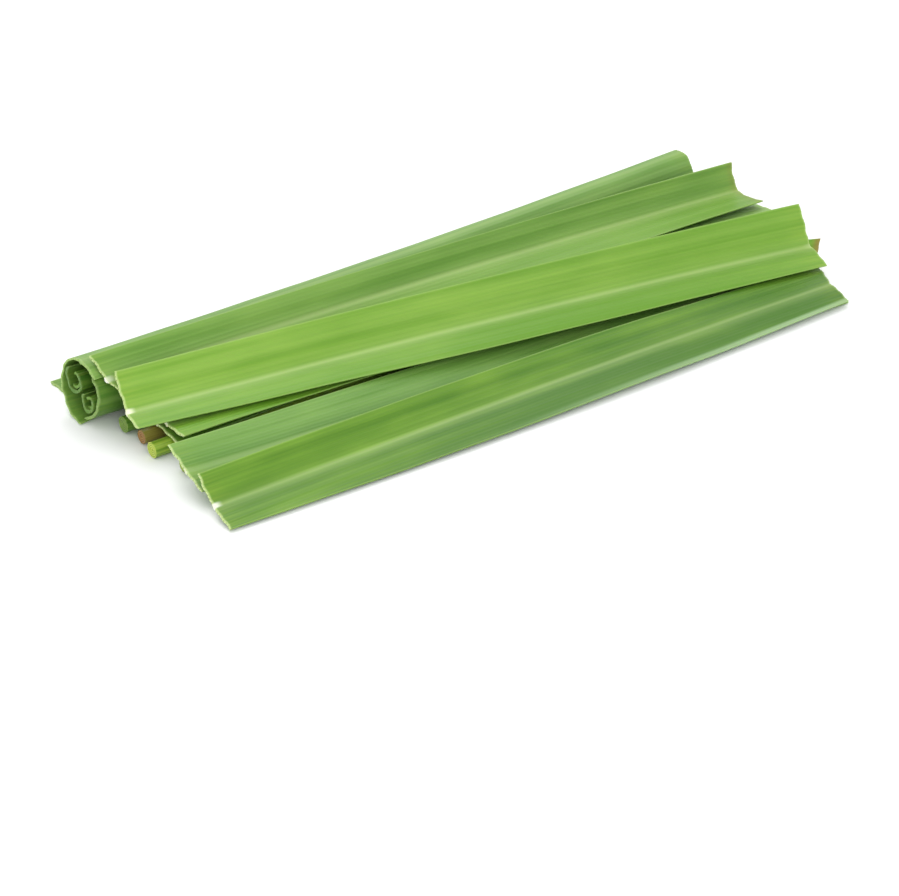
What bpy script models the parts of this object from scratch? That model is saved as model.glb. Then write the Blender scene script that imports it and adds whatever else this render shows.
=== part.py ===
"""Lemongrass stalk, one leafy length cut square at both ends and laid down.

The stalk lies along X, with its rolled heart at the back (+Y), blades nested
over it towards the front and four thin shoots underneath. Each blade is one
folded strip. Its cross-section starts at the keel, the line of the midrib, and
two wings leave it, one to the back and one to the front. The slope of a wing
changes evenly from the keel to its margin, so a wing is an arc. Every number of
the section changes smoothly from the left cut to the right cut.

Lengths in the tables are millimetres and slopes are degrees, rising away from
the keel. The blades are built in metres, with +Z up and the origin at the
middle of the footprint on the surface that the stalk lies on.
"""

import math

import bmesh
import bpy
import numpy as np
from mathutils import Matrix, Vector

# Driving dimensions
MM = 0.001
LEAF_EDGE = 0.60        # thickness of a blade at its margin
LEAF_KEEL = 1.15        # thickness of a blade at its midrib
CURL_KEEL = 0.75        # thickness of a young rolled blade at its midrib
BASE_THICKNESS = 0.70   # even thickness of the two blades that lie on the surface
KEEL_SPREAD = 1.3       # distance over which the midrib thins out into the blade
CENTRE_SHIFT = (-2.9, 2.65)   # moves the drawing's zero to the middle of the footprint
ROWS = 13               # stations from the left cut to the right cut
WING_STEPS = 6          # steps from keel to margin on an open blade
CURL_STEPS = 9          # steps from keel to margin on a rolled blade
SHOOT_SIDES = 20

# One row for each blade: left cut x, right cut x, then the section at the left
# cut, half way along and the right cut. A section is keel y, keel z, then width,
# slope at the keel and slope at the margin, first of the back wing and then of
# the front wing. None half way along means the mean of the two ends.
BLADES = {
    "base_back": ("base", -82, 84,
                  (26.8, 0.7, 9.2, 0, 0, 2.2, 0, 0), None,
                  (26.0, 0.7, 8.4, 0, 0, 3.0, 0, 0)),
    "base_front": ("base", -79, 83,
                   (-26.4, 0.7, 7.4, 0, 0, 7.1, 0, 0), None,
                   (-32.0, 0.7, 5.2, 0, 0, 6.6, 0, 0)),
    "blade_front_upper": ("leaf", -83, 81,
                          (-20.5, 5.5, 7.3, 22, 26, 6.2, -20, -26),
                          (-20.2, 2.3, 9.0, 11, 14, 7.6, 0, -2),
                          (-19.5, 2.0, 6.4, 16, 18, 4.0, -6, -8)),
    "blade_front": ("leaf", -83.4, 83,
                    (-31.5, 2.3, 7.7, 37, 44, 7.5, -10, -13),
                    (-31.6, 2.6, 8.4, 22, 26, 9.8, -6, -9),
                    (-32.4, 2.4, 9.0, 0, -4, 7.2, -4, -10)),
    "blade_middle_under": ("leaf", -76.5, 88.5,
                           (-2.5, 6.2, 4.4, 4, 6, 6.6, 2, -8),
                           (-8.4, 5.5, 7.0, 34, 48, 4.8, -2, -2),
                           (-20.5, 3.6, 3.4, 42, 54, 2.4, -8, -10)),
    "blade_middle": ("leaf", -83, 87,
                     (2.4, 8.6, 9.4, 43, 40, 5.7, -5, -12),
                     (-8.6, 7.9, 9.5, 53, 55, 8.0, -10, -18),
                     (-19.6, 6.4, 9.2, 62, 68, 7.4, -20, -28)),
    "blade_back": ("leaf", -82.5, 88,
                   (10.9, 12.5, 6.4, 40, 34, 6.8, -40, -46),
                   (9.6, 11.1, 6.5, 44, 50, 8.2, -22, -16),
                   (7.1, 8.5, 6.9, 55, 82, 9.0, -2, 16)),
    "blade_sliver": ("leaf", -30, 89,
                     (3.2, 7.1, 4.2, 2, 2, 4.0, 2, 2),
                     (0.6, 7.0, 6.4, 2, 2, 5.0, 2, -4),
                     (-5.6, 8.0, 7.2, -6, -12, 7.0, -6, -28)),
    "blade_bed": ("leaf", -77, 86,
                  (0.6, 5.0, 6.8, 4, 12, 8.5, -2, -14),
                  (0.4, 5.0, 6.8, 3, 8, 7.0, 0, -16),
                  (-1.5, 5.2, 7.0, 2, 8, 6.2, 2, 4)),
    "roll_wrap_top": ("leaf", -84.8, 87,
                      (17.7, 14.9, 24.6, 0, -191, 6.0, 0, -47),
                      (23.5, 11.35, 13.4, 0, -150, 7.2, 4, -60),
                      (27.0, 11.1, 8.8, 0, -103, 9.0, 0, -105)),
    "roll_wrap_front": ("curl", -84.4, 84,
                        (11.35, 7.5, 4.5, 90, 49, 8.6, -90, -168), (10.4, 5.8, 6.4, 90, 26, 7.4, -90, -165),
                        (10.9, 5.5, 8.4, 90, 0, 6.2, -90, -160)),
    "roll_curl_back": ("curl", -85.4, 86.4,
                       (20.1, 6.9, 6.3, 0, 138, 6.3, 0, 138),
                       (23.6, 3.0, 7.0, 0, 139, 7.0, 0, 139),
                       (27.0, 2.9, 8.0, 0, 139, 8.0, 0, 139)),
    "roll_curl_front": ("curl", -85, 84.5,
                        (15.4, 4.0, 4.1, 0, 137, 4.1, 0, 137), (15.9, 2.6, 5.0, 0, 138, 5.0, 0, 138),
                        (17.0, 2.0, 6.6, 0, 140, 6.6, 0, 140)),
}

# A slanting cut: millimetres along X for each millimetre out from the keel, for
# the left back wing, left front wing, right back wing and right front wing.
SLANTED_CUTS = {
    "blade_front": (0, -0.12, 0.42, -0.12),
    "blade_middle": (0.16, -0.19, 0, -0.2),
    "blade_middle_under": (0, 0, 0.8, 0),
    "blade_back": (-0.16, 0.5, 0, 0),
    "base_back": (0, -0.1, 0, 0),
}

# Thin shoots under the blades: radius at the left and right, then both centres
SHOOTS = {
    "stem_back": (1.85, 1.75, (-80.6, 8.0, 2.3), (84, 5.0, 1.85)),
    "stem_middle": (1.60, 1.50, (-80, 1.7, 2.0), (85, 0.6, 1.60)),
    "stem_front": (1.80, 1.70, (-81, -4.0, 1.85), (83, -3.4, 1.80)),
    "stem_low": (1.50, 1.45, (-79, -13.0, 1.65), (82, -8.6, 1.60)),
}

# Colours, linear: open blades, the young rolled blades and the shoots
GREENS = {
    "base_back": (0.14, 0.30, 0.045),
    "base_front": (0.16, 0.34, 0.050),
    "blade_front": (0.19, 0.40, 0.055),
    "blade_front_upper": (0.24, 0.42, 0.110),
    "blade_middle": (0.21, 0.43, 0.060),
    "blade_middle_under": (0.16, 0.34, 0.050),
    "blade_back": (0.20, 0.40, 0.070),
    "blade_sliver": (0.21, 0.38, 0.090),
    "blade_bed": (0.13, 0.28, 0.040),
    "roll_wrap_top": (0.25, 0.43, 0.130),
    "roll_wrap_front": (0.13, 0.28, 0.045),
    "roll_curl_back": (0.12, 0.26, 0.040),
    "roll_curl_front": (0.14, 0.30, 0.045),
    "stem_back": (0.13, 0.27, 0.040),
    "stem_middle": (0.34, 0.26, 0.090),
    "stem_front": (0.38, 0.50, 0.080),
    "stem_low": (0.26, 0.38, 0.080),
}


def clear_scene():
    for thing in list(bpy.data.objects):
        bpy.data.objects.remove(thing, do_unlink=True)


def new_collection(name):
    group = bpy.data.collections.new(name)
    bpy.context.scene.collection.children.link(group)
    return group


def plant_material(name):
    material = bpy.data.materials.new(name)
    material.use_nodes = True
    shader = material.node_tree.nodes["Principled BSDF"]
    shader.inputs["Base Color"].default_value = (*GREENS[name], 1.0)
    shader.inputs["Roughness"].default_value = 0.45
    return material


def section_numbers(spec, along):
    """Return the eight numbers of a section at a fraction of the length.

    They follow the parabola through the left, middle and right values.
    """
    left = np.array(spec[3], dtype=float)
    right = np.array(spec[5], dtype=float)
    middle = (left + right) / 2 if spec[4] is None else np.array(spec[4], dtype=float)
    return (left * (1 - along) * (1 - 2 * along)
            + middle * 4 * along * (1 - along)
            + right * along * (2 * along - 1))


def wing_curve(width, slope_keel, slope_margin, steps):
    """Return distances out and up from the keel along one wing.

    Each step has the slope of its middle, so the wing keeps its true width.
    """
    fraction = (np.arange(steps) + 0.5) / steps
    slope = np.radians(slope_keel + (slope_margin - slope_keel) * fraction)
    out = np.concatenate([[0.0], np.cumsum(np.cos(slope)) * width / steps])
    up = np.concatenate([[0.0], np.cumsum(np.sin(slope)) * width / steps])
    return out, up


def blade_rows(name, spec, steps):
    """Return the upper surface as rows of points, and each column's keel weight."""
    cut = SLANTED_CUTS.get(name, (0, 0, 0, 0))
    rows = []
    for row in range(ROWS):
        along = row / (ROWS - 1)
        numbers = section_numbers(spec, along)
        x = spec[1] + (spec[2] - spec[1]) * along
        back_out, back_up = wing_curve(*numbers[2:5], steps)
        front_out, front_up = wing_curve(*numbers[5:8], steps)
        reach = np.arange(steps + 1) / steps
        near_left = (1 - along) ** 3
        near_right = along ** 3
        back_x = x + reach * numbers[2] * (cut[0] * near_left + cut[2] * near_right)
        front_x = x + reach * numbers[5] * (cut[1] * near_left + cut[3] * near_right)
        xs = np.concatenate([front_x[::-1], back_x[1:]])
        ys = np.concatenate([(numbers[0] - front_out)[::-1], (numbers[0] + back_out)[1:]])
        zs = np.concatenate([(numbers[1] + front_up)[::-1], (numbers[1] + back_up)[1:]])
        rows.append(np.stack([xs, ys, zs], axis=1))
    mean = section_numbers(spec, 0.5)
    away = np.concatenate([np.linspace(mean[5], 0, steps + 1),
                           np.linspace(0, mean[2], steps + 1)[1:]])
    return np.array(rows), away


def add_blade(name, spec, group):
    """Build one blade: an open folded strip, thickened downwards from its upper side."""
    kind = spec[0]
    steps = CURL_STEPS if kind == "curl" else WING_STEPS
    points, away = blade_rows(name, spec, steps)
    points[:, :, 0] += CENTRE_SHIFT[0]
    points[:, :, 1] += CENTRE_SHIFT[1]
    columns = points.shape[1]
    faces = []
    for row in range(ROWS - 1):
        for column in range(columns - 1):
            corner = row * columns + column
            faces.append((corner, corner + columns, corner + columns + 1, corner + 1))
    mesh = bpy.data.meshes.new(name)
    mesh.from_pydata((points.reshape(-1, 3) * MM).tolist(), [], faces)
    mesh.update()
    blade = bpy.data.objects.new(name, mesh)
    group.objects.link(blade)
    mesh.materials.append(plant_material(name))

    shell = blade.modifiers.new("leaf thickness", 'SOLIDIFY')
    shell.offset = -1.0
    shell.use_even_offset = True
    if kind == "base":
        shell.thickness = BASE_THICKNESS * MM
        return blade
    keel = CURL_KEEL if kind == "curl" else LEAF_KEEL
    shell.thickness = keel * MM
    weights = blade.vertex_groups.new(name="keel")
    for column in range(columns):
        rise = math.exp(-(away[column] / KEEL_SPREAD) ** 2)
        weight = (LEAF_EDGE + (keel - LEAF_EDGE) * rise) / keel
        members = [row * columns + column for row in range(ROWS)]
        weights.add(members, weight, 'REPLACE')
    shell.vertex_group = "keel"
    return blade


def add_shoot(name, spec, group):
    """Build one thin shoot: a slightly tapering round rod between two centres."""
    left_radius, right_radius, left, right = spec
    shift = Vector((CENTRE_SHIFT[0], CENTRE_SHIFT[1], 0.0))
    start = (Vector(left) + shift) * MM
    end = (Vector(right) + shift) * MM
    turn = (end - start).to_track_quat('Z', 'Y').to_matrix().to_4x4()
    place = Matrix.Translation((start + end) / 2) @ turn
    shape = bmesh.new()
    bmesh.ops.create_cone(shape, cap_ends=True, cap_tris=False, segments=SHOOT_SIDES,
                          radius1=left_radius * MM, radius2=right_radius * MM,
                          depth=(end - start).length, matrix=place)
    mesh = bpy.data.meshes.new(name)
    shape.to_mesh(mesh)
    shape.free()
    shoot = bpy.data.objects.new(name, mesh)
    group.objects.link(shoot)
    mesh.materials.append(plant_material(name))
    return shoot


def main():
    clear_scene()
    stalk = new_collection("lemongrass_stalk")
    for name, spec in BLADES.items():
        add_blade(name, spec, stalk)
    for name, spec in SHOOTS.items():
        add_shoot(name, spec, stalk)


main()
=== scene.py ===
# %% [markdown]
# # A fresh lemongrass stalk, cut square at both ends
#
# Lemongrass grows as a tight bundle of long leaves. Here a leafy length has been
# cut across at both ends and laid on a pale table. The youngest leaves are still
# rolled at the back, the older ones have opened and lie folded over each other,
# and a few thin shoots lie under them. Each leaf could be a flat card with a
# picture on it, but a card has no fold, no thickness and no cut edge, so here
# every leaf is a real strip worked out from a few measured numbers.

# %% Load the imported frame
import math

import bpy
import numpy as np
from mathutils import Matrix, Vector


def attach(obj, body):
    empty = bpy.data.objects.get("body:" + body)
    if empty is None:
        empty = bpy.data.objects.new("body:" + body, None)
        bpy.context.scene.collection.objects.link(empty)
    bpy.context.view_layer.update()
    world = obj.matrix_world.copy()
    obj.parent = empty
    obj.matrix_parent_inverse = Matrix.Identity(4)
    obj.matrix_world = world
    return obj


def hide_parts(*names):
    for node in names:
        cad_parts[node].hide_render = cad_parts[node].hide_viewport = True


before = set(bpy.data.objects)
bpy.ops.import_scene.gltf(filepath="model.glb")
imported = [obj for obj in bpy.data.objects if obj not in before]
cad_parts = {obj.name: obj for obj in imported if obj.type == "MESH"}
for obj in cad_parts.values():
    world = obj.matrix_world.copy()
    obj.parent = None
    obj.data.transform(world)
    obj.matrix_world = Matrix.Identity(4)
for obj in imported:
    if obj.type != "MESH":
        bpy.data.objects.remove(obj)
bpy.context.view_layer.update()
print("CAD nodes:", len(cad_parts))

# %% [markdown]
# ## The measured sections
#
# A folded leaf is a keel, the line of its midrib, with a wing on each side. Cut
# across, each wing is an arc: it leaves the keel at one slope and reaches the
# margin at another. So a section needs eight numbers: the keel's y and z, then
# width, slope at the keel and slope at the margin for the back wing and for the
# front wing. Lengths are millimetres and slopes are degrees that rise away from
# the keel. The sections are those of the solids, so each leaf stays where its
# solid is. Only a few ends differ from theirs, by less than 2 mm.

# %% Sections of the leaves: kind, left cut, right cut, then left, middle and right section
MM = 0.001
# From the table's x and y to the frame's, whose origin is the middle of the bundle
CENTRE_SHIFT = np.array([-2.9, 2.65])
LEAVES = {
    "base_back": ("base", -82, 84,
                  (26.8, 0.7, 9.2, 0, 0, 2.2, 0, 0), None,
                  (26.0, 0.7, 8.4, 0, 0, 3.0, 0, 0)),
    "base_front": ("base", -79, 83,
                   (-26.4, 0.7, 7.4, 0, 0, 7.1, 0, 0), None,
                   (-32.0, 0.7, 5.2, 0, 0, 6.6, 0, 0)),
    "blade_front_upper": ("leaf", -83, 81,
                          (-20.5, 5.5, 7.3, 22, 26, 6.2, -20, -26),
                          (-20.2, 2.3, 9.0, 11, 14, 7.6, 0, -2),
                          (-19.5, 2.0, 6.4, 16, 18, 4.0, -6, -8)),
    "blade_front": ("leaf", -83.4, 83,
                    (-31.5, 2.3, 7.7, 37, 44, 7.5, -10, -13),
                    (-31.6, 2.6, 8.4, 22, 26, 9.8, -6, -9),
                    (-32.4, 2.4, 9.0, 0, -4, 7.2, -4, -10)),
    "blade_middle_under": ("leaf", -76.5, 88.5,
                           (-2.5, 6.2, 4.4, 4, 6, 6.6, 2, -8),
                           (-8.4, 5.5, 7.0, 34, 48, 4.8, -2, -2),
                           (-21.2, 3.1, 3.6, 42, 54, 2.4, -8, -10)),
    "blade_middle": ("leaf", -83, 87,
                     (2.4, 8.6, 9.4, 43, 40, 5.7, -5, -12),
                     (-8.6, 7.9, 9.5, 53, 55, 8.0, -10, -18),
                     (-20.4, 5.8, 10.1, 61, 67, 6.6, -16, -24)),
    "blade_back": ("leaf", -82.5, 88,
                   (10.9, 12.5, 6.4, 40, 34, 6.8, -40, -46),
                   (9.6, 11.1, 6.5, 44, 50, 8.2, -22, -16),
                   (7.1, 8.5, 6.9, 55, 82, 9.0, -2, 16)),
    "blade_sliver": ("leaf", -30, 89,
                     (3.2, 7.1, 4.2, 2, 2, 4.0, 2, 2),
                     (0.6, 7.0, 6.4, 2, 2, 5.0, 2, -4),
                     (-5.6, 8.0, 7.2, -6, -12, 7.0, -6, -28)),
    "blade_bed": ("leaf", -77, 86,
                  (0.6, 5.0, 6.8, 4, 12, 8.5, -2, -14),
                  (0.4, 5.0, 6.8, 3, 8, 7.0, 0, -16),
                  (-1.5, 5.2, 7.0, 2, 8, 6.2, 2, 4)),
    "roll_wrap_top": ("leaf", -84.8, 87,
                      (17.7, 14.9, 24.6, 0, -191, 6.0, 0, -47),
                      (23.5, 11.35, 13.4, 0, -150, 7.2, 4, -60),
                      (27.0, 11.1, 8.8, 0, -103, 9.0, 0, -105)),
    "roll_wrap_front": ("curl", -84.4, 84,
                        (11.35, 7.5, 5.5, 90, 40, 8.6, -90, -168),
                        (10.4, 5.8, 6.4, 90, 26, 7.4, -90, -165),
                        (10.9, 5.5, 8.4, 90, 0, 6.2, -90, -160)),
    "roll_curl_back": ("curl", -85.4, 86.4,
                       (20.1, 6.9, 6.3, 0, 138, 6.3, 0, 138),
                       (23.6, 3.0, 7.0, 0, 139, 7.0, 0, 139),
                       (27.0, 2.9, 8.0, 0, 139, 8.0, 0, 139)),
    "roll_curl_front": ("curl", -85, 84.5,
                        (15.4, 4.0, 4.1, 0, 137, 4.1, 0, 137),
                        (15.9, 2.6, 5.0, 0, 138, 5.0, 0, 138),
                        (17.0, 2.0, 6.6, 0, 140, 6.6, 0, 140)),
}
# A slanting cut, in mm along X per mm out from the keel: back and front wing at
# the left cut, then back and front wing at the right cut
SQUARE_CUT = (0, 0, 0, 0)
SLANTED_CUTS = {
    "blade_front": (0, -0.12, 0.42, -0.12),
    "blade_middle": (0.16, -0.19, 0, 0),
    "blade_middle_under": (0, 0, 0.8, 0),
    "blade_back": (-0.16, 0.5, 0, 0),
    "base_back": (0, -0.1, 0, 0),
    "roll_wrap_top": (-0.065, 0, 0, 0),
    "roll_wrap_front": (0, -0.1, 0, 0),
}
print("leaves:", len(LEAVES), "of them with a slanting cut:", len(SLANTED_CUTS))

# %% [markdown]
# ## From eight numbers to a surface
#
# Along the leaf every number follows a parabola through its three measured
# values, so there is no kink anywhere. Across a wing the slope changes evenly,
# which makes the wing an arc of a circle, and an arc has a closed formula: the
# chord from the keel to a point is the length times sin(h)/h, where h is half the
# angle turned so far. The whole leaf is then one numpy expression.

# %% The numbers of a section, and points on a wing
def section_numbers(spec, along):
    """Each number follows the parabola through its left, middle and right value."""
    left = np.array(spec[3], float)
    right = np.array(spec[5], float)
    middle = (left + right) / 2 if spec[4] is None else np.array(spec[4], float)
    u = along[:, None]
    return left * (1 - u) * (1 - 2 * u) + middle * 4 * u * (1 - u) + right * u * (2 * u - 1)


def wing_points(width, slope_keel, slope_margin, reach):
    """Out and up from the keel: chord = length * sin(h) / h, at the mean slope so far."""
    length = width[:, None] * reach[None, :]
    start = np.radians(slope_keel)[:, None]
    half_turn = np.radians(slope_margin - slope_keel)[:, None] * reach[None, :] / 2
    chord = length * np.sinc(half_turn / math.pi)
    return chord * np.cos(start + half_turn), chord * np.sin(start + half_turn)


left_wing = [np.array([value]) for value in LEAVES["blade_middle"][3][2:5]]
margin_out, margin_up = wing_points(*left_wing, np.array([1.0]))
print("blade_middle's back wing reaches out and up, mm:", margin_out.round(2), margin_up.round(2))

# %% [markdown]
# ## Small unevenness
#
# A real leaf isn't ruled with a straight edge. It has shallow lengthwise furrows,
# slow waves along its margins and a slightly torn cut. All three are made here
# from one helper: a sum of sines with seeded phases, which is smooth, cheap and
# the same on every run.

# %% Seeded ripples
def ripple(values, wavelengths, seed):
    """Sum of sines of these wavelengths with seeded phases, scaled to about -1 to 1."""
    phases = np.random.default_rng(seed).uniform(0, 2 * math.pi, len(wavelengths))
    waves = [np.sin(2 * math.pi * values / length + phase)
             for length, phase in zip(wavelengths, phases)]
    return sum(waves) / math.sqrt(len(wavelengths))


def smooth_step(values, low, high):
    """0 below low, 1 above high, and 3t^2 - 2t^3 between them."""
    t = np.clip((values - low) / (high - low), 0, 1)
    return t * t * (3 - 2 * t)


print("ripple sample:", ripple(np.linspace(0, 10, 4), [3.0, 7.0], 1).round(2))

# %% [markdown]
# ## Stations and columns
#
# The cut ends carry the finest detail, because torn fibres are a few tenths of a
# millimetre long, while the middle of a leaf hardly changes. So stations crowd
# near each cut and are 2.4 mm apart elsewhere. Across the leaf the columns are
# close enough to draw the veins, which are about 0.9 mm apart.

# %% Where the grid lines lie
STATION_STEP = 2.4
END_STATIONS = np.array([0.0, 0.12, 0.3, 0.55, 0.9, 1.4, 2.1, 3.2, 4.6])
WING_COLUMNS = 58
VEIN_PITCH = 0.92


def stations(length):
    """Distances from the left cut: fine at both ends, even between them."""
    inner = np.arange(END_STATIONS[-1] + STATION_STEP, length - END_STATIONS[-1] - 1, STATION_STEP)
    return np.concatenate([END_STATIONS, inner, (length - END_STATIONS)[::-1]])


across_share = np.linspace(-1, 1, 2 * WING_COLUMNS + 1)
print("stations on a 166 mm leaf:", len(stations(166)), "columns:", len(across_share))

# %% [markdown]
# ## The middle line of a leaf
#
# `leaf_rows` turns a row of the table into the leaf's upper side: rows of points
# run along the leaf and columns across it, from the front margin over the keel to
# the back margin. A leaf folds with a small radius and not with a sharp crease,
# so `round_fold` averages neighbouring points, but only close to the keel.

# %% Upper side of a leaf, with a rounded fold
FOLD_RADIUS = 0.7
FOLD_WEIGHTS = np.array([1, 2, 3, 4, 3, 2, 1]) / 16


def leaf_rows(name, spec):
    """Upper side, mm across and mm along. A slant fades as (1-u)^3 from the left cut and
    as u^3 from the right one, where u runs from 0 to 1 along the leaf."""
    length = spec[2] - spec[1]
    distance = stations(length)
    along = distance / length
    numbers = section_numbers(spec, along)
    reach = np.linspace(0, 1, WING_COLUMNS + 1)
    back_out, back_up = wing_points(*numbers[:, 2:5].T, reach)
    front_out, front_up = wing_points(*numbers[:, 5:8].T, reach)
    y = numbers[:, :1] + np.hstack([-front_out[:, :0:-1], back_out])
    z = numbers[:, 1:2] + np.hstack([front_up[:, :0:-1], back_up])
    across = np.hstack([-numbers[:, 5:6] * reach[:0:-1], numbers[:, 2:3] * reach])
    cut = SLANTED_CUTS.get(name, SQUARE_CUT)
    near_left, near_right = ((1 - along) ** 3)[:, None], (along ** 3)[:, None]
    back, front = np.clip(across, 0, None), np.clip(-across, 0, None)
    x = spec[1] + distance[:, None] + back * (cut[0] * near_left + cut[2] * near_right)
    x = x + front * (cut[1] * near_left + cut[3] * near_right)
    return np.stack([x, y, z], axis=2), across, distance


def round_fold(points, across):
    """Weighted mean of seven columns, blended in by exp(-(across / radius)^2)."""
    padded = np.pad(points, ((0, 0), (3, 3), (0, 0)), mode="edge")
    columns = points.shape[1]
    mean = sum(k * padded[:, i:i + columns] for i, k in enumerate(FOLD_WEIGHTS))
    weight = np.exp(-(across / FOLD_RADIUS) ** 2)[:, :, None]
    return points * (1 - weight) + mean * weight


print("points on one side of a leaf:", leaf_rows("blade_back", LEAVES["blade_back"])[0].shape)

# %% [markdown]
# ## Thickness and relief
#
# An open blade is about 0.46 mm thick and thins towards its margins. The rolled
# leaves are young and fleshier, about 0.62 mm. The midrib stands out underneath,
# so a blade is about 1 mm thick there. All of this is measured along the normal
# of each section, which keeps the thickness true however the leaf bends. Solidify
# could do it too, but it gives one thickness all over.

# %% Upper and lower side of a leaf
LEAF_THICKNESS = {"leaf": 0.46, "curl": 0.62, "base": 0.46}
MARGIN_THICKNESS = 0.26
THIN_MARGIN_SHARE = 0.16
MIDRIB_DEPTH = {"leaf": 0.55, "curl": 0.25, "base": 0.2}
MIDRIB_HALF_WIDTH = 0.62
VEIN_HEIGHT = 0.009
VEIN_DEPTH_UNDER = 0.03
FURROW_SLANT = 0.004
WAVE_POWER = 1.6
SWAY_SHARE = 0.35
SWAY_SHIFT = 30
# Wavelengths in mm: furrows across the leaf, waves along it, tears along the cut
FURROWS = [2.3, 3.9, 6.4]
MARGIN_WAVES = [47.0, 71.0, 118.0]
SLOW_SWAY = [29.0, 83.0]
FIBRE_TEARS, FIBRE_TEAR_DEPTH = [0.46, 0.92], 0.035
SLOW_TEARS, SLOW_TEAR_DEPTH = [3.1, 7.0], 0.13
CUT_SHRINK, TEAR_REACH = 0.12, 1.6


def section_normals(points):
    """Unit normals in the section's own plane, pointing out of the upper side."""
    tangent = np.gradient(points[:, :, 1:], axis=1)
    tangent /= np.linalg.norm(tangent, axis=2, keepdims=True)
    return np.stack([np.zeros(points.shape[:2]), -tangent[:, :, 1], tangent[:, :, 0]], axis=2)


def leaf_sides(points, across, distance, kind, seed, furrow, wave):
    """Upper side: the section moved along its normal by furrows, veins and waves. Lower
    side: the upper one moved back by the thickness and a bell-shaped rib at the keel."""
    half_width = np.where(across < 0, np.abs(across[:, :1]), across[:, -1:])
    share = np.clip(np.abs(across) / half_width, 0, 1)
    off_keel = smooth_step(np.abs(across), 0.1, 0.9)
    veins = np.cos(2 * math.pi * across / VEIN_PITCH) * off_keel
    furrows = furrow * ripple(across + FURROW_SLANT * distance[:, None], FURROWS, seed) * off_keel
    waves = wave * share ** WAVE_POWER * ripple(distance, MARGIN_WAVES, seed + 1)[:, None]
    sway = SWAY_SHARE * wave * ripple(distance - SWAY_SHIFT, SLOW_SWAY, seed + 2)[:, None]
    normals = section_normals(points)
    upper = points + normals * (furrows + VEIN_HEIGHT * veins + waves + sway)[:, :, None]
    inside_margin = smooth_step(1 - share, 0.0, THIN_MARGIN_SHARE)
    thickness = MARGIN_THICKNESS + (LEAF_THICKNESS[kind] - MARGIN_THICKNESS) * inside_margin
    thickness = thickness + MIDRIB_DEPTH[kind] * np.exp(-(across / MIDRIB_HALF_WIDTH) ** 2)
    lower = upper - normals * (thickness + VEIN_DEPTH_UNDER * veins)[:, :, None]
    return upper, lower, share


def tear_cuts(upper, lower, across, distance, seed):
    """Moves both sides along x by seeded tears, which fade as exp(-(from cut / reach)^2)."""
    from_cut = np.minimum(distance, distance[-1] - distance)[:, None]
    tear = FIBRE_TEAR_DEPTH * ripple(across[:1], FIBRE_TEARS, seed + 3)
    tear = tear + SLOW_TEAR_DEPTH * ripple(across[:1], SLOW_TEARS, seed + 4)
    near = np.exp(-(from_cut / TEAR_REACH) ** 2)
    outward = np.where(distance < distance[-1] / 2, -1.0, 1.0)[:, None]
    for grid in (upper, lower):
        grid[:, :, 0] += outward * near * (tear - CUT_SHRINK)
    return from_cut


print("blade thickness at the keel, mm:", LEAF_THICKNESS["leaf"] + MIDRIB_DEPTH["leaf"])

# %% [markdown]
# ## Closing the strip
#
# The upper and lower grids are joined into one closed skin: down one side, back
# along the other, and across both cut ends. Three attributes go with it, in
# millimetres measured on the leaf itself, so the patterns in the materials run
# along the leaf however it bends: where a point is along and across, how far it
# is from a cut, and whether a face is cut tissue.

# %% Faces of a closed strip
def quads(a, b, c, d):
    """One face from each four corners that stand at the same place in the four arrays."""
    return np.stack([a.ravel(), b.ravel(), c.ravel(), d.ravel()], axis=1)


def strip_faces(rows, columns):
    """Upper grid, lower grid turned over, two margins and two cut ends, facing outwards."""
    index = np.arange(rows * columns).reshape(rows, columns)
    under = index + rows * columns
    top = quads(index[:-1, :-1], index[1:, :-1], index[1:, 1:], index[:-1, 1:])
    bottom = quads(under[:-1, :-1], under[:-1, 1:], under[1:, 1:], under[1:, :-1])
    front = quads(index[:-1, 0], under[:-1, 0], under[1:, 0], index[1:, 0])
    back = quads(index[:-1, -1], index[1:, -1], under[1:, -1], under[:-1, -1])
    left = quads(index[0, :-1], index[0, 1:], under[0, 1:], under[0, :-1])
    right = quads(index[-1, :-1], under[-1, :-1], under[-1, 1:], index[-1, 1:])
    faces = np.concatenate([top, bottom, front, back, left, right])
    is_cut = np.arange(len(faces)) >= len(faces) - len(left) - len(right)
    return faces, is_cut


print("faces of one leaf:", len(strip_faces(86, 117)[0]))

# %% A mesh from arrays, and a whole leaf
def make_piece(name, points, faces, is_cut, is_smooth, measures, material):
    """Puts the arrays into a mesh, in metres, with the leaf's own measures as attributes."""
    mesh = bpy.data.meshes.new(name)
    mesh.from_pydata((points * MM).tolist(), [], faces)
    for label, values in measures.items():
        attribute = mesh.attributes.new(label, 'FLOAT_VECTOR', 'POINT')
        attribute.data.foreach_set("vector", values.astype(np.float32).ravel())
    cut = mesh.attributes.new("cut", 'FLOAT', 'FACE')
    cut.data.foreach_set("value", is_cut.astype(np.float32))
    mesh.polygons.foreach_set("use_smooth", is_smooth)
    mesh.update()
    mesh.materials.append(material)
    piece = bpy.data.objects.new(name, mesh)
    bpy.context.scene.collection.objects.link(piece)
    return piece


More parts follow.
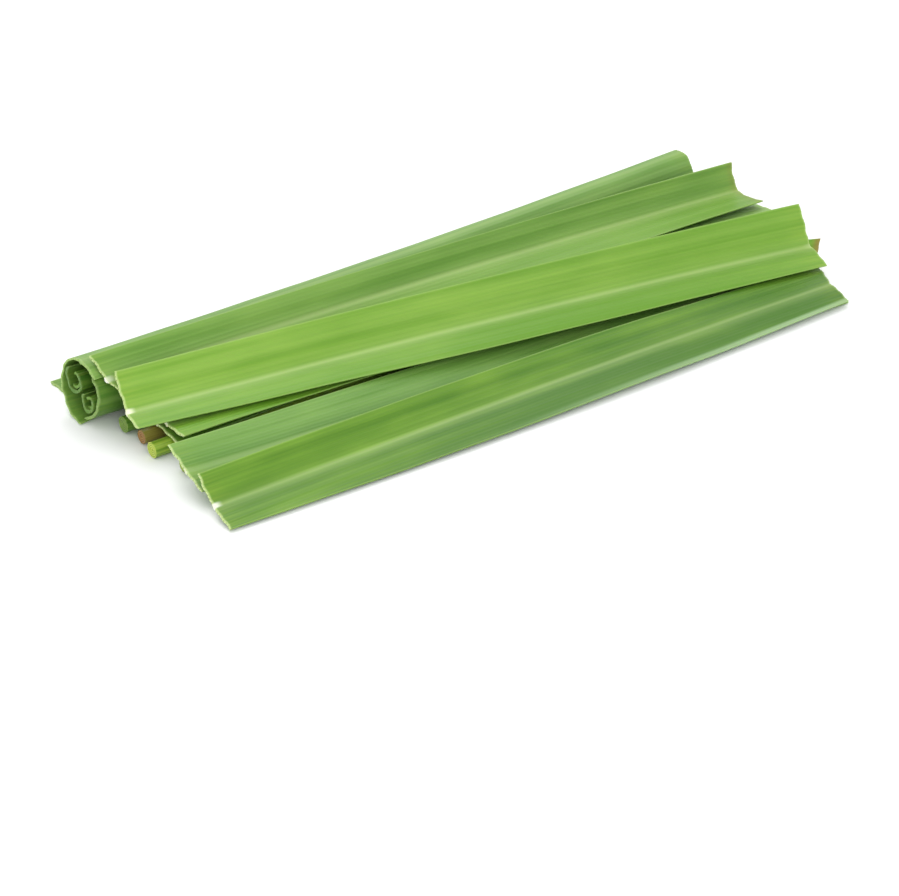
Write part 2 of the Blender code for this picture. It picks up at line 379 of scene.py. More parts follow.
def build_leaf(name, points, across, distance, kind, seed, material, furrow, wave):
    """A closed leaf from its upper side: fold rounded, thickness, torn cuts, faces."""
    points = round_fold(points, across)
    upper, lower, share = leaf_sides(points, across, distance, kind, seed, furrow, wave)
    from_cut = tear_cuts(upper, lower, across, distance, seed)
    if kind == "base":  # pressed flat on the table
        lower[:, :, 2] = np.maximum(lower[:, :, 2], 0.0)
        upper[:, :, 2] = np.maximum(upper[:, :, 2], 0.2)
    both = np.concatenate([upper.reshape(-1, 3), lower.reshape(-1, 3)])
    both[:, :2] += CENTRE_SHIFT
    along = np.broadcast_to(distance[:, None], across.shape)
    ends = np.broadcast_to(from_cut, across.shape)
    is_upper = np.ones_like(across)
    leaf_mm = [np.stack([along, across, side], axis=2).reshape(-1, 3)
               for side in (is_upper, 0 * is_upper)]
    leaf_ends = [np.stack([ends, share, side], axis=2).reshape(-1, 3)
                 for side in (is_upper, 0 * is_upper)]
    faces, is_cut = strip_faces(*across.shape)
    measures = {"leaf_mm": np.concatenate(leaf_mm), "leaf_ends": np.concatenate(leaf_ends)}
    return make_piece(name, both, faces.tolist(), is_cut, ~is_cut, measures, material)


print("triangles of one leaf:", 2 * len(strip_faces(86, 117)[0]))

# %% [markdown]
# ## Colours and nodes
#
# Colours are picked as sRGB hex values, the way a colour chart gives them, and
# one function turns them into the linear values that a shader works with. A
# second small function adds any node, so a pattern can be written down in the
# order in which it is built up.

# %% Colour and node helpers
def linear(hex_colour):
    """sRGB hex to linear RGBA, by the sRGB curve."""
    channels = [int(hex_colour[i:i + 2], 16) / 255 for i in (1, 3, 5)]
    curve = [c / 12.92 if c <= 0.04045 else ((c + 0.055) / 1.055) ** 2.4 for c in channels]
    return (*curve, 1.0)


def add(tree, kind, values=(), **settings):
    """Adds one node: its settings, then what goes into its sockets. A list fills the
    sockets in use from the top, a dict fills them by name. A value is a number, a
    colour, a socket, or a node, which stands for its first output in use."""
    node = tree.nodes.new("ShaderNode" + kind)
    for key, value in settings.items():
        setattr(node, key, value)
    if isinstance(values, dict):
        filled = [(node.inputs[key], value) for key, value in values.items()]
    else:
        filled = list(zip([socket for socket in node.inputs if socket.enabled], values))
    for socket, value in filled:
        if isinstance(value, bpy.types.Node):
            value = next(output for output in value.outputs if output.enabled)
        if isinstance(value, bpy.types.NodeSocket):
            tree.links.new(value, socket)
        else:
            socket.default_value = value
    return node


# Settings that many nodes share
TIMES = {"operation": 'MULTIPLY'}
TIMES_PLUS = {"operation": 'MULTIPLY_ADD'}
SMOOTH = {"interpolation_type": 'SMOOTHSTEP'}
COLOURS = {"data_type": 'RGBA'}
print("leaf green, linear:", [round(c, 3) for c in linear("#6E9B2C")])

# %% Colours of the tissue, apart from each leaf's own greens
TISSUE_HEX = {
    "yellow_patch": "#8FB23A",
    # Pale wax colour, which also paints the sheen of the sky on the skin
    "wax_and_sky_sheen": "#A6C084",
    "midrib": "#B9CF86",
    # Painted sheen beside the midrib
    "sheen_beside_midrib": "#B9CF8A",
    "margin": "#A9C476",
    # Painted sheen along a flat front margin
    "margin_sheen": "#AAC698",
    "drying": "#9DB044",
    "moist_rim": "#C6D892",
    "cut_face": "#C9DA98",
    "cut_vein": "#93AC5C",
    "brown_face": "#8A6232",
    "brown_skin": "#8A6F36",
}
TISSUE = {name: linear(hex_colour) for name, hex_colour in TISSUE_HEX.items()}
print("wax, linear:", [round(c, 3) for c in TISSUE["wax_and_sky_sheen"]])

# %% [markdown]
# ## What the mesh tells the shader
#
# The green of a leaf runs in streaks along it, because it was laid down between
# the veins while the leaf grew. So the noise is read at a place measured on the
# leaf, and stretched: fine streaks are 0.6 mm wide, broad ones 3 mm, and patches
# are 30 mm long. A picture could hold such streaks, but it would blur close up.

# %% Measures and streaks
# Cells per mm along and across the leaf, place in the noise, detail
STREAKS = {
    "fine": (0.016, 1.7, 0.0, 3.0),
    "broad": (0.007, 0.36, 5.0, 2.0),
    "patch": (0.035, 0.10, 11.0, 2.0),
}


def leaf_measures(tree, seed):
    """Sockets for where a point is on the leaf, and noise at (along, across) * cells."""
    on_leaf = add(tree, "Attribute", attribute_name="leaf_mm").outputs["Vector"]
    on_ends = add(tree, "Attribute", attribute_name="leaf_ends").outputs["Vector"]
    along, across, side = add(tree, "SeparateXYZ", [on_leaf]).outputs
    from_cut, share, _ = add(tree, "SeparateXYZ", [on_ends]).outputs
    at = {"along": along, "across": across, "side": side, "from_cut": from_cut, "share": share}
    at["cut"] = add(tree, "Attribute", attribute_name="cut").outputs["Fac"]
    at["off_midrib"] = add(tree, "Math", [across], operation='ABSOLUTE')
    for name, (cells_along, cells_across, shift, detail) in STREAKS.items():
        place = add(tree, "Mapping", {"Vector": on_leaf, "Scale": (cells_along, cells_across, 0),
                                      "Location": (0, 0, 3.7 * seed + shift)})
        at[name] = add(tree, "TexNoise", {"Vector": place, "Scale": 1.0, "Detail": detail,
                                          "Roughness": 0.6})
    return at


print("streaks, mm wide:", {name: round(1 / cells[1], 1) for name, cells in STREAKS.items()})

# %% [markdown]
# ## The green of the skin
#
# A lemongrass leaf is green through and through, and its tone goes from a deep
# green to a fresh one. Some leaves get painted shade towards their right end, where
# the blades above overhang them, and painted shade or painted light on the front
# wing, for how that wing faces the lamp above. The veins are a little darker than
# the tissue between them.

# %% Streaked green
def streaked_green(tree, at, look):
    """Deep to fresh by 0.24 fine + 0.46 broad + 0.30 patch, less the painted shading."""
    tone = add(tree, "Math", [at["fine"], 0.24], **TIMES)
    tone = add(tree, "Math", [at["broad"], 0.46, tone], **TIMES_PLUS)
    tone = add(tree, "Math", [at["patch"], 0.30, tone], **TIMES_PLUS)
    # Painted shade towards the right end, and painted shade or painted light on the front wing
    to_right, on_front = look["painted_shading"]
    for darker in (add(tree, "MapRange", [at["along"], 20, 120, 0, to_right], **SMOOTH),
                   add(tree, "MapRange", [at["across"], -1.5, 1.5, on_front, 0], **SMOOTH)):
        tone = add(tree, "Math", [tone, darker], operation='SUBTRACT')
    tone = add(tree, "MapRange", [tone, 0.22, 0.78], **SMOOTH)
    green = add(tree, "Mix", [tone, linear(look["deep"]), linear(look["fresh"])], **COLOURS)
    yellower = add(tree, "MapRange", [at["patch"], 0.5, 0.8, 0, 0.12], **SMOOTH)
    return add(tree, "Mix", [yellower, green, TISSUE["yellow_patch"]], **COLOURS)


def vein_pattern(tree, at):
    """The cosine of across over the vein pitch, and the line where it is near 1."""
    phase = add(tree, "Math", [at["across"], 2 * math.pi / VEIN_PITCH], **TIMES)
    wave = add(tree, "Math", [phase], operation='COSINE')
    return wave, add(tree, "MapRange", [wave, 0.35, 1.0], **SMOOTH)


print("veins on a 16 mm leaf:", round(16 / VEIN_PITCH))

# %% [markdown]
# ## Wax, painted sheen, midrib and margins
#
# The skin has a thin waxy bloom, which scatters light, looks pale and bluish where
# it is thick and is thinner underneath. The same pale mix also paints the sheen of
# the bright sky on the skin. The midrib is pale, about 0.8 mm wide, with a painted
# sheen beside it: a soft pale band, stronger on the front wing, where the leaf
# folds towards the light. The margins end in a thin pale line, and one leaf has a
# broader pale strip of painted sheen along its front margin, where the margin lies
# flat and reflects the sky.

# %% Wax and painted sheen, midrib and margins
def wax_and_sheen_share(tree, at, look):
    """(0.4 + 0.6 * where broad and patch are high) * wax amount, half of it underneath; the wax
    mix also paints the sheen of the sky.
    """
    patchy = add(tree, "Math", [at["patch"], 0.5, at["broad"]], **TIMES_PLUS)
    patchy = add(tree, "MapRange", [patchy, 0.5, 0.95, 0.4, 1.0], **SMOOTH)
    wax_and_sheen = look["wax_and_sheen"]
    # The wax amount also sets how much painted sheen of the sky the skin gets
    amount = add(tree, "MapRange", [at["side"], 0, 1, wax_and_sheen * 0.5, wax_and_sheen], **SMOOTH)
    return add(tree, "Math", [patchy, amount], **TIMES)


def pale_lines(tree, at, look, green):
    """Midrib, a painted sheen band beside it, thin line at the margins, a strip of painted sheen
    at the front one.
    """
    midrib = add(tree, "MapRange", [at["off_midrib"], 0.1, 0.85, look["midrib"], 0], **SMOOTH)
    green = add(tree, "Mix", [midrib, green, TISSUE["midrib"]], **COLOURS)
    # Painted sheen: a pale band beside the midrib, stronger on the front wing, which faces the
    # light
    beside = add(tree, "MapRange", [at["off_midrib"], 0.3, 3.0, look["midrib"], 0], **SMOOTH)
    on_front = add(tree, "MapRange", [at["across"], -0.4, 0.4, 0.8, 0.2], **SMOOTH)
    beside = add(tree, "Math", [beside, on_front], **TIMES)
    green = add(tree, "Mix", [beside, green, TISSUE["sheen_beside_midrib"]], **COLOURS)
    margin = add(tree, "MapRange", [at["share"], 0.95, 0.995, 0, 0.3], **SMOOTH)
    green = add(tree, "Mix", [margin, green, TISSUE["margin"]], **COLOURS)
    # Painted sheen: a pale strip along the front margin, where the margin lies flat and reflects
    # the sky
    strip = add(tree, "MapRange", [at["share"], 0.80, 0.92], **SMOOTH)
    for limit in ([at["across"], -2.0, -1.0, 1, 0], [at["along"], 50, 150, 0, look["margin_sheen"]]):
        strip = add(tree, "Math", [strip, add(tree, "MapRange", limit, **SMOOTH)], **TIMES)
    return add(tree, "Mix", [strip, green, TISSUE["margin_sheen"]], **COLOURS)


print("pale midrib, linear:", [round(c, 3) for c in TISSUE["midrib"]])

# %% [markdown]
# ## Where the knife went through
#
# Cut tissue is pale and moist, and it yellows first. The pith of the midrib is
# nearly white. So the skin gets a pale rim at the cut and a small pale spot where
# the midrib ends, and the cut face shows paler tissue between its veins. The cut
# at the right is older, so it is less pale, and one leaf has browned there.

# %% The cut
RIGHT_CUT_PALENESS = 0.4


def cut_tissue(tree, at, look, green, vein_line):
    """Skin near the cut, and the cut face, each a chain of mixes by distance in mm."""
    fade = add(tree, "MapRange", [at["from_cut"], 0, 7, 1, 0], **SMOOTH)
    dry = add(tree, "MapRange", [at["fine"], 0.35, 0.7, 0, 0.2], **SMOOTH)
    dry = add(tree, "Math", [fade, dry], **TIMES)
    green = add(tree, "Mix", [dry, green, TISSUE["drying"]], **COLOURS)
    pale = look["cut_pale"]
    paleness = [at["along"], 40, 120, pale, RIGHT_CUT_PALENESS * pale]
    paleness = add(tree, "MapRange", paleness, **SMOOTH)
    rim = add(tree, "MapRange", [at["from_cut"], 0.05, 0.6, 0.7, 0], **SMOOTH)
    rim = add(tree, "Math", [rim, paleness], **TIMES)
    green = add(tree, "Mix", [rim, green, TISSUE["moist_rim"]], **COLOURS)

    heart = add(tree, "MapRange", [at["off_midrib"], 0.3, 0.95, 1, 0], **SMOOTH)
    spot = heart
    for limit in ([at["from_cut"], 0.2, 2.4, 1, 0], [at["along"], 40, 120, *look["spot"]]):
        spot = add(tree, "Math", [spot, add(tree, "MapRange", limit, **SMOOTH)], **TIMES)
    pith = linear(look["pith"])
    green = add(tree, "Mix", [spot, green, pith], **COLOURS)
    face = add(tree, "Mix", [vein_line, TISSUE["cut_face"], TISSUE["cut_vein"]], **COLOURS)
    face = add(tree, "Mix", [heart, face, pith], **COLOURS)
    face = add(tree, "Mix", [paleness, linear(look["fresh"]), face], **COLOURS)

    browned = add(tree, "MapRange", [at["along"], 120, 150, 0, look["brown"]], **SMOOTH)
    face = add(tree, "Mix", [browned, face, TISSUE["brown_face"]], **COLOURS)
    near = add(tree, "MapRange", [at["from_cut"], 0.3, 2.6, 1, 0], **SMOOTH)
    browned = add(tree, "Math", [browned, near], **TIMES)
    green = add(tree, "Mix", [browned, green, TISSUE["brown_skin"]], **COLOURS)
    return add(tree, "Mix", [at["cut"], green, face], **COLOURS)


print("share of its paleness that a right cut keeps:", RIGHT_CUT_PALENESS)

# %% [markdown]
# ## The leaf material
#
# The skin is satin. Its roughness is about 0.4 and grows with the wax and sheen mix,
# and plant wax has an IOR of about 1.45. Light sinks in a little and comes out
# greenish, which is the subsurface part. The bump is only the grain between the
# veins, because the veins themselves are in the mesh.

# %% Leaf skin: satin, waxy, streaked along the leaf
# The shading pair: painted shade towards the right end, and painted shade or light on
# the front wing. spot: pale spot where the midrib meets the left cut, and the right
# one. The rest are shares from 0 to 1.
PLAIN_LOOK = dict(cut_pale=1.0, spot=(0, 0), brown=0.0, pith="#DDE7BC", painted_shading=(0, 0),
                  margin_sheen=0.0, midrib=0.3)


def leaf_material(name, seed, look):
    """Green, then wax and painted sheen, pale lines and cut on top of it, and gloss from the wax.
    """
    material = bpy.data.materials.new(name)
    material.use_nodes = True
    tree = material.node_tree
    shader = tree.nodes["Principled BSDF"]
    look = {**PLAIN_LOOK, **look}
    at = leaf_measures(tree, seed)
    vein_wave, vein_line = vein_pattern(tree, at)
    wax_and_sheen = wax_and_sheen_share(tree, at, look)

    green = streaked_green(tree, at, look)
    darker_vein = add(tree, "Math", [vein_line, 0.09], **TIMES)
    green = add(tree, "Mix", [darker_vein, green, linear(look["deep"])], **COLOURS)
    # Wax colour mixed in: real wax bloom and a painted sheen of the sky in one
    green = add(tree, "Mix", [wax_and_sheen, green, TISSUE["wax_and_sky_sheen"]], **COLOURS)
    green = pale_lines(tree, at, look, green)
    colour = cut_tissue(tree, at, look, green, vein_line)
    tree.links.new(colour.outputs["Result"], shader.inputs["Base Color"])

    rough = add(tree, "MapRange", [at["fine"], 0.3, 0.7, 0.36, 0.46], **SMOOTH)
    rough = add(tree, "Math", [wax_and_sheen, 0.25, rough], **TIMES_PLUS)
    rough = add(tree, "Math", [at["cut"], 0.15, rough], **TIMES_PLUS)
    tree.links.new(rough.outputs[0], shader.inputs["Roughness"])
    grain = add(tree, "Math", [vein_wave, 0.3, at["fine"]], **TIMES_PLUS)
    bump = add(tree, "Bump", {"Height": grain, "Strength": 0.22, "Distance": 0.00005})
    tree.links.new(bump.outputs[0], shader.inputs["Normal"])
    shader.inputs["IOR"].default_value = 1.45
    shader.inputs["Specular IOR Level"].default_value = 0.32
    shader.inputs["Subsurface Weight"].default_value = 0.10
    shader.inputs["Subsurface Radius"].default_value = (0.45, 1.0, 0.15)
    shader.inputs["Subsurface Scale"].default_value = 0.0008
    return material


print("what a leaf's look can set:", ["deep", "fresh", "wax_and_sheen", *PLAIN_LOOK])

# %% [markdown]
# ## Every leaf in its place
#
# The open blades differ in age and in how much wax they kept. The two at the front
# and the flat wings catch the sky and look pale, and that pale sheen is painted in
# with the wax. The young rolled leaves and the inner rolls get dark greens and dull
# cut faces, painted shade of the hollow inside the roll, and the bed leaf's dark
# greens are painted shade under the blades above it. Each leaf stands for its solid
# and rides on the one body of the stalk.

# %% How each leaf looks
# Rolled leaves: a duller pith and a fainter midrib, painted shade of the hollow inside the roll
ROLLED_IN_SHADE = dict(pith="#A9C27A", midrib=0.08)
# The shading pair of a look paints shade towards the right end, where blades above overhang it,
# and shade or light on the front wing
LEAF_LOOKS = {
    "base_back": dict(deep="#4A7A1C", fresh="#6A962C", wax_and_sheen=0.10, cut_pale=0.5),
    "base_front": dict(deep="#4F7F24", fresh="#75A03C", wax_and_sheen=0.20),
    "blade_front_upper": dict(deep="#4A7C20", fresh="#6E9C38", wax_and_sheen=0.18, spot=(0.05, 0),
                              painted_shading=(0.10, 0), midrib=0.12),
    # A pale strip of painted sheen along its front margin, and painted shade towards its right end
    "blade_front": dict(deep="#3F6E0E", fresh="#709C1E", wax_and_sheen=0.06, spot=(0.8, 0),
                        pith="#F4F6E6", painted_shading=(0.20, 0.05), margin_sheen=0.6, midrib=0.22),
    "blade_middle_under": dict(deep="#568A1A", fresh="#78A630", wax_and_sheen=0.06, spot=(0.1, 0),
                               brown=0.75),
    "blade_middle": dict(deep="#5E9018", fresh="#86B032", wax_and_sheen=0.13, spot=(1.0, 0.1),
                         pith="#F3F5D6", painted_shading=(0.08, 0.14)),
    "blade_back": dict(deep="#4A7B18", fresh="#6E9C2C", wax_and_sheen=0.18, spot=(0.45, 0),
                       pith="#F4F6E6", painted_shading=(0, -0.15), brown=0.2),
    "blade_sliver": dict(deep="#5F8F34", fresh="#82AC4A", wax_and_sheen=0.40),
    # Dark greens: painted shade, for this leaf lies in the shadow under the blades above it
    "blade_bed": dict(deep="#3F6E14", fresh="#5A8722", wax_and_sheen=0.06),
    "roll_wrap_top": dict(deep="#4C7C24", fresh="#6E9C38", wax_and_sheen=0.24, cut_pale=0.4,
                          pith="#B4CA8A", midrib=0.15),
    # Dark greens and dull cut faces of the rolled leaves are painted shade of the inside of the
    # roll
    "roll_wrap_front": dict(ROLLED_IN_SHADE, deep="#3A6914", fresh="#548226", wax_and_sheen=0.08, cut_pale=0.3),
    "roll_curl_back": dict(ROLLED_IN_SHADE, deep="#2C5613", fresh="#42701D", wax_and_sheen=0.05, cut_pale=0.14),
    "roll_curl_front": dict(ROLLED_IN_SHADE, deep="#355F17", fresh="#4C7922", wax_and_sheen=0.05, cut_pale=0.16),
}
print("looks:", len(LEAF_LOOKS))

# %% Build the leaves
# Height of the furrows and of the waves in mm: open blades are livelier than rolled
# and pressed leaves
UNEVENNESS = {"leaf": (0.03, 0.10), "curl": (0.015, 0.03), "base": (0.015, 0.03)}
BASE_DROP = 0.22

for number, (node, spec) in enumerate(LEAVES.items()):
    kind = spec[0]
    skin = leaf_material("leaf_skin_" + node, number + 1, LEAF_LOOKS[node])
    points, across, distance = leaf_rows(node, spec)
    if kind == "base":
        points[:, :, 2] -= BASE_DROP
    leaf = build_leaf(node + "_leaf", points, across, distance, kind, 10 * number + 3, skin,
                      *UNEVENNESS[kind])
    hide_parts(node)
    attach(leaf, "root")
print("leaves built:", len(LEAVES))

# %% [markdown]
# ## The rolled heart
#
# Inside each of the two curled leaves there is a younger one. Its section is part
# of a spiral: the distance from the middle grows evenly with the angle. It keeps
# the middle of the curl around it, so it needs no table of its own. It is a scene
# piece inside the solid of the outer curl.

# %% Two inner rolls
HEART_INSET = 0.5
# Curl around it, inner and outer radius as shares, turns, angle where it starts
HEARTS = {
    "roll_heart_back": ("roll_curl_back", 0.30, 0.72, 0.62, 1.25),
    "roll_heart_front": ("roll_curl_front", 0.25, 0.66, 0.70, 0.5),
}


def spiral_rows(node, inner, outer, turns, start):
    """Radius from inner to outer times the curl's radius, evenly with the angle turned."""
    spec = LEAVES[node]
    distance = stations(spec[2] - spec[1] - 2 * HEART_INSET - 0.1)
    numbers = section_numbers(spec, distance / distance[-1])
    curl_radius = numbers[:, 2:3] / np.radians(numbers[:, 4:5])
    share = (across_share[None, :] + 1) / 2
    angle = start + 2 * math.pi * turns * share
    radius = curl_radius * (inner + (outer - inner) * share)
    y = numbers[:, 0:1] + radius * np.cos(angle)
    z = numbers[:, 1:2] + curl_radius + radius * np.sin(angle)
    x = np.broadcast_to(spec[1] + HEART_INSET + distance[:, None], y.shape)
    arc = 2 * math.pi * turns * curl_radius.mean() * (inner + outer) / 2
    across = np.broadcast_to(across_share[None, :] * arc / 2, y.shape)
    return np.stack([x, y, z], axis=2), across, distance


for number, (name, (node, *spiral)) in enumerate(HEARTS.items()):
    # Dark greens and a dull cut: painted shade inside the roll
    look = dict(ROLLED_IN_SHADE, deep="#426F1C", fresh="#5F8C2E", wax_and_sheen=0.05, cut_pale=0.12, midrib=0.0)
    skin = leaf_material("young_leaf_" + name, 40 + number, look)
    points, across, distance = spiral_rows(node, *spiral)
    heart = build_leaf(name, points, across, distance, "curl", 300 + number, skin, 0.01, 0.02)
    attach(heart, "root")
print("inner rolls built:", len(HEARTS))

# %% [markdown]
# ## The thin shoots
#
# The shoots are stems of tightly wrapped sheaths. From the side they are ribbed
# rods, and on the cut each sheath shows as a ring round a soft centre. A
# cylinder from the menu has neither, so the rod is a profile turned about its
# axis: from the middle of one cut, out over the rings, along the ribs and back to
# the middle of the other cut.

# %% Shoots: radius left and right, centre left and right
SHOOTS = {
    "stem_back": (1.85, 1.75, (-80.6, 8.0, 2.3), (84, 5.0, 1.85)),
    "stem_middle": (1.60, 1.50, (-80, 1.7, 2.0), (85, 0.6, 1.60)),
    "stem_front": (1.80, 1.70, (-81, -4.0, 1.85), (83, -3.4, 1.80)),
    "stem_low": (1.50, 1.45, (-79, -13.0, 1.65), (82, -8.6, 1.60)),
}
SHOOT_SIDES = 72
# Where the points on the cut face lie, as shares of the radius
FACE_STEPS = np.linspace(0.06, 0.97, 15)
FACE_INSET = 0.05
RING_PITCH, RING_HEIGHT = 0.42, 0.07
CENTRE_RADIUS, CENTRE_DEPTH = 0.5, 0.16
# Number round the shoot, and height as a share of the radius
RIBS, RIB_HEIGHT = 9, 0.012
LOBES, LOBE_HEIGHT = 4, 0.010


def shoot_grid(left_radius, right_radius, left, right, seed):
    """Profile turned about an axis. Side: radius * (1 + two cosines of the angle). Cut
    face: a cosine of the radius over the ring pitch, less a bell in the middle."""
    left, right = np.array(left, float), np.array(right, float)
    length = right[0] - left[0]
    side = stations(length)
    radius_share = np.concatenate([FACE_STEPS, np.full(len(side), 1.0), FACE_STEPS[::-1]])
    on_left, on_right = np.zeros(len(FACE_STEPS)), np.full(len(FACE_STEPS), length)
    distance = np.concatenate([on_left, side, on_right])
    along = (distance / length)[:, None]
    angle = np.linspace(0, 2 * math.pi, SHOOT_SIDES, endpoint=False)[None, :]
    radius = left_radius + (right_radius - left_radius) * along
    ribs = 1 + RIB_HEIGHT * (np.cos(RIBS * angle) - 1)
    ribs = ribs + LOBE_HEIGHT * (np.cos(LOBES * angle + seed) - 1)
    r = radius * radius_share[:, None] * ribs
    rings = RING_HEIGHT * np.cos(2 * math.pi * r / RING_PITCH)
    rings = rings - CENTRE_DEPTH * np.exp(-(r / CENTRE_RADIUS) ** 2)
    outward = np.where(distance < length / 2, -1.0, 1.0)[:, None]
    on_face = (radius_share < 1.0)[:, None]
    x = left[0] + distance[:, None] + np.where(on_face, outward * (rings - FACE_INSET), 0.0)
    y = left[1] + (right[1] - left[1]) * along + r * np.cos(angle)
    z = left[2] + (right[2] - left[2]) * along + r * np.sin(angle)
    arc = np.broadcast_to((angle - math.pi) * left_radius, r.shape)
    shoot_mm = np.stack([np.broadcast_to(distance[:, None], r.shape), arc, r], axis=2)
    return np.stack([x, y, z], axis=2), shoot_mm, on_face[:, 0]


def turned_faces(rows, sides):
    """Quads between neighbouring rings, and a fan of triangles round each pole."""
    index = np.arange(rows * sides).reshape(rows, sides)
    after = np.roll(index, -1, axis=1)
    first, last = np.full(sides, rows * sides), np.full(sides, rows * sides + 1)
    body = quads(index[:-1], after[:-1], after[1:], index[1:])
    start = np.stack([first, after[0], index[0]], axis=1)
    end = np.stack([last, index[-1], after[-1]], axis=1)
    return body.tolist() + start.tolist() + end.tolist()


print("rings on a cut shoot:", round(1.8 / RING_PITCH, 1))

# %% [markdown]
# ## The shoot material
#
# The cut of a shoot is told apart by its rings, so its material reads the
# distance from the axis: every sheath is a pale ring with a darker joint. Its
# side is a streaked satin green like the leaves, but with less wax. One shoot has
# browned, and one is still a bright yellow-green.

# %% Shoot skin: satin sheath outside, ringed cut
# Colours of the side, deep and fresh, then of the cut, ring and joint
SHOOT_LOOKS = {
    "stem_back": ("#47701F", "#6B9434", "#8FA84C", "#4E7224"),
    "stem_middle": ("#7C6A2E", "#9C9440", "#B08A4E", "#7A5226"),
    "stem_front": ("#648A22", "#93B036", "#CFDC62", "#8FA62E"),
    "stem_low": ("#6C8A2C", "#93AE48", "#B9CB6C", "#7C9632"),
}


def shoot_material(name, deep, fresh, ring, joint, seed):
    """Side: deep to fresh by stretched noise. Cut: joint to ring by a cosine of the radius."""
    material = bpy.data.materials.new(name)
    material.use_nodes = True
    tree = material.node_tree
    shader = tree.nodes["Principled BSDF"]
    on_leaf = add(tree, "Attribute", attribute_name="leaf_mm").outputs["Vector"]
    cut = add(tree, "Attribute", attribute_name="cut").outputs["Fac"]
    stretched = add(tree, "Mapping", {"Vector": on_leaf, "Scale": (0.02, 1.4, 1.0),
                                      "Location": (seed, 0, 0)})
    streak = add(tree, "TexNoise", {"Vector": stretched, "Scale": 1.3, "Detail": 3.0,
                                    "Roughness": 0.6})
    radius = add(tree, "SeparateXYZ", [on_leaf]).outputs["Z"]
    turns = add(tree, "Math", [radius, 2 * math.pi / RING_PITCH], **TIMES)
    rings = add(tree, "Math", [turns], operation='COSINE')
    ramps = []
    for factor, low, high, low_colour, high_colour in ((streak, 0.35, 0.65, deep, fresh),
                                                       (rings, 0.0, 0.7, joint, ring)):
        ramp = add(tree, "ValToRGB", [factor])
        stops = ramp.color_ramp.elements
        stops[0].position, stops[0].color = low, linear(low_colour)
        stops[1].position, stops[1].color = high, linear(high_colour)
        ramps.append(ramp)
    colour = add(tree, "Mix", [cut, *ramps], **COLOURS)
    tree.links.new(colour.outputs["Result"], shader.inputs["Base Color"])
    bump = add(tree, "Bump", {"Height": streak, "Strength": 0.4, "Distance": 0.00006})
    tree.links.new(bump.outputs[0], shader.inputs["Normal"])
    shader.inputs["Roughness"].default_value = 0.42
    shader.inputs["IOR"].default_value = 1.45
    shader.inputs["Subsurface Weight"].default_value = 0.15
    shader.inputs["Subsurface Radius"].default_value = (0.6, 1.0, 0.2)
    shader.inputs["Subsurface Scale"].default_value = 0.0008
    return material


print("shoot looks:", len(SHOOT_LOOKS))

# %% Build the shoots
for number, (node, spec) in enumerate(SHOOTS.items()):
    skin = shoot_material("shoot_skin_" + node, *SHOOT_LOOKS[node], seed=number * 5.3)
    points, shoot_mm, on_face = shoot_grid(*spec, seed=number)
    poles = np.array([points[0].mean(axis=0), points[-1].mean(axis=0)])
    vertices = np.concatenate([points.reshape(-1, 3), poles])
    vertices[:, :2] += CENTRE_SHIFT
    measures = {"leaf_mm": np.concatenate([shoot_mm.reshape(-1, 3), np.zeros((2, 3))])}
    faces = turned_faces(len(on_face), SHOOT_SIDES)
    ring_is_cut = np.repeat(on_face[:-1] | on_face[1:], SHOOT_SIDES)
    is_cut = np.concatenate([ring_is_cut, np.ones(2 * SHOOT_SIDES, bool)])
    shoot = make_piece(node + "_shoot", vertices, faces, is_cut, np.ones(len(faces), bool),
                       measures, skin)
    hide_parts(node)
    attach(shoot, "root")
print("shoots built:", len(SHOOTS))

# %% [markdown]
# ## Table and light
#
# The stalk lies on a plain white table under soft light from above and behind,
# so flat wings shine pale and steep ones stay a full green. Large lamps give
# soft shadows, and a white surrounding fills them.

# %% Floor
FLOOR_HALF_SIZE = 4.0
floor_corners = [(side_x * FLOOR_HALF_SIZE, side_y * FLOOR_HALF_SIZE, 0)
                 for side_x, side_y in ((-1, -1), (1, -1), (1, 1), (-1, 1))]
floor_mesh = bpy.data.meshes.new("table_top")
floor_mesh.from_pydata(floor_corners, [], [(0, 1, 2, 3)])
floor = bpy.data.objects.new("table_top", floor_mesh)
bpy.context.scene.collection.objects.link(floor)
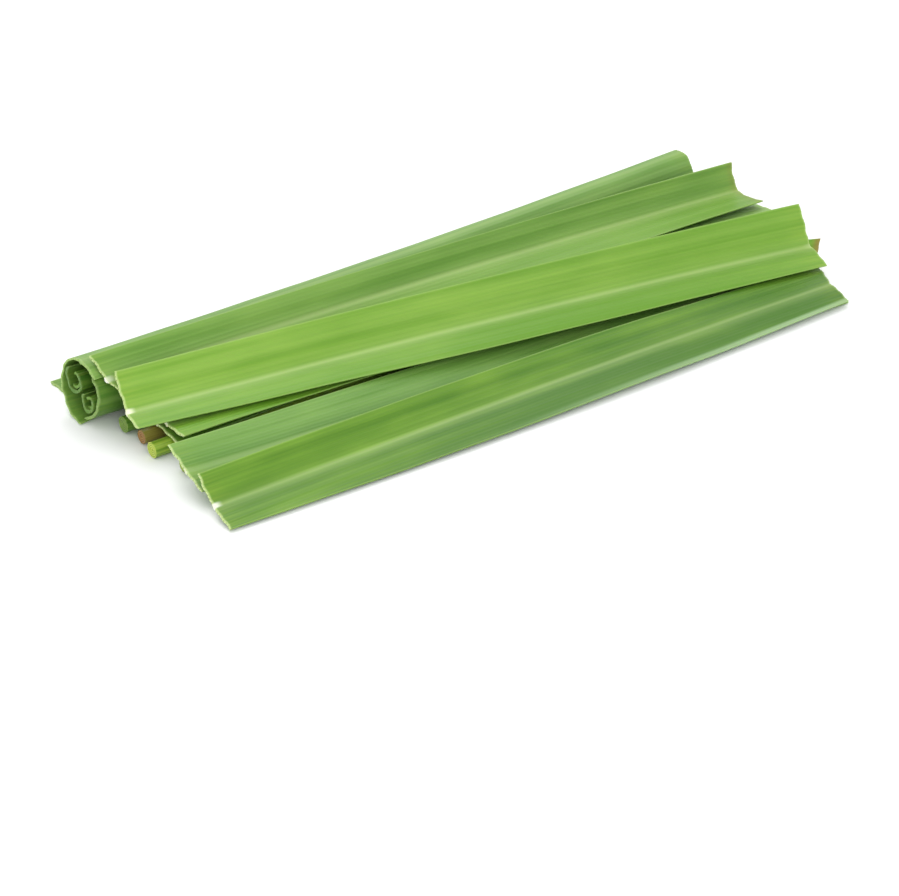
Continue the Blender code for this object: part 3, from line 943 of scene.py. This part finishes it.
# Matt white paint: bright, with no visible reflection of the stalk
table_paint = bpy.data.materials.new("white_table")
table_paint.use_nodes = True
table_shader = table_paint.node_tree.nodes["Principled BSDF"]
table_shader.inputs["Base Color"].default_value = linear("#F7F8F8")
table_shader.inputs["Roughness"].default_value = 0.6
floor_mesh.materials.append(table_paint)
print("floor, m:", 2 * FLOOR_HALF_SIZE)

# %% Lamps and surroundings
# Place in metres, size in metres, watts
LAMPS = {
    "lamp_above": ((0.20, 0.50, 0.80), 0.7, 3.0),
    "lamp_front": ((-0.35, -0.80, 0.55), 0.8, 3.3),
}
for name, (place, size, watts) in LAMPS.items():
    data = bpy.data.lights.new(name, 'AREA')
    data.shape = 'SQUARE'
    data.size = size
    data.energy = watts
    lamp = bpy.data.objects.new(name, data)
    lamp.location = place
    lamp.rotation_euler = (-Vector(place)).to_track_quat('-Z', 'Y').to_euler()
    bpy.context.scene.collection.objects.link(lamp)
world = bpy.data.worlds.new("white_studio")
world.use_nodes = True
world.node_tree.nodes["Background"].inputs["Color"].default_value = (1, 1, 1, 1)
world.node_tree.nodes["Background"].inputs["Strength"].default_value = 1.0
bpy.context.scene.world = world
bpy.context.scene.view_settings.view_transform = 'Standard'
print("lamps:", len(LAMPS))

# %% [markdown]
# ## Camera
#
# The stalk is seen from the front left at 30 degrees above the table, from about
# 0.8 m away through a long lens, so the two long edges stay nearly parallel.

# %% Camera
VIEW_AZIMUTH = math.radians(-36.0)
VIEW_ELEVATION = math.radians(30.5)
VIEW_DISTANCE = 0.82
aim = Vector((-0.0308, -0.03495, 0.0))
towards_camera = Vector((math.sin(VIEW_AZIMUTH) * math.cos(VIEW_ELEVATION),
                         -math.cos(VIEW_AZIMUTH) * math.cos(VIEW_ELEVATION),
                         math.sin(VIEW_ELEVATION)))
camera_data = bpy.data.cameras.new("camera")
camera_data.lens = 155.0
camera_data.sensor_width = 36.0
camera_data.clip_start = 0.05
camera = bpy.data.objects.new("camera", camera_data)
camera.location = aim + towards_camera * VIEW_DISTANCE
camera.rotation_euler = (-towards_camera).to_track_quat('-Z', 'Y').to_euler()
bpy.context.scene.collection.objects.link(camera)
bpy.context.scene.camera = camera
print("camera at", [round(c, 3) for c in camera.location])
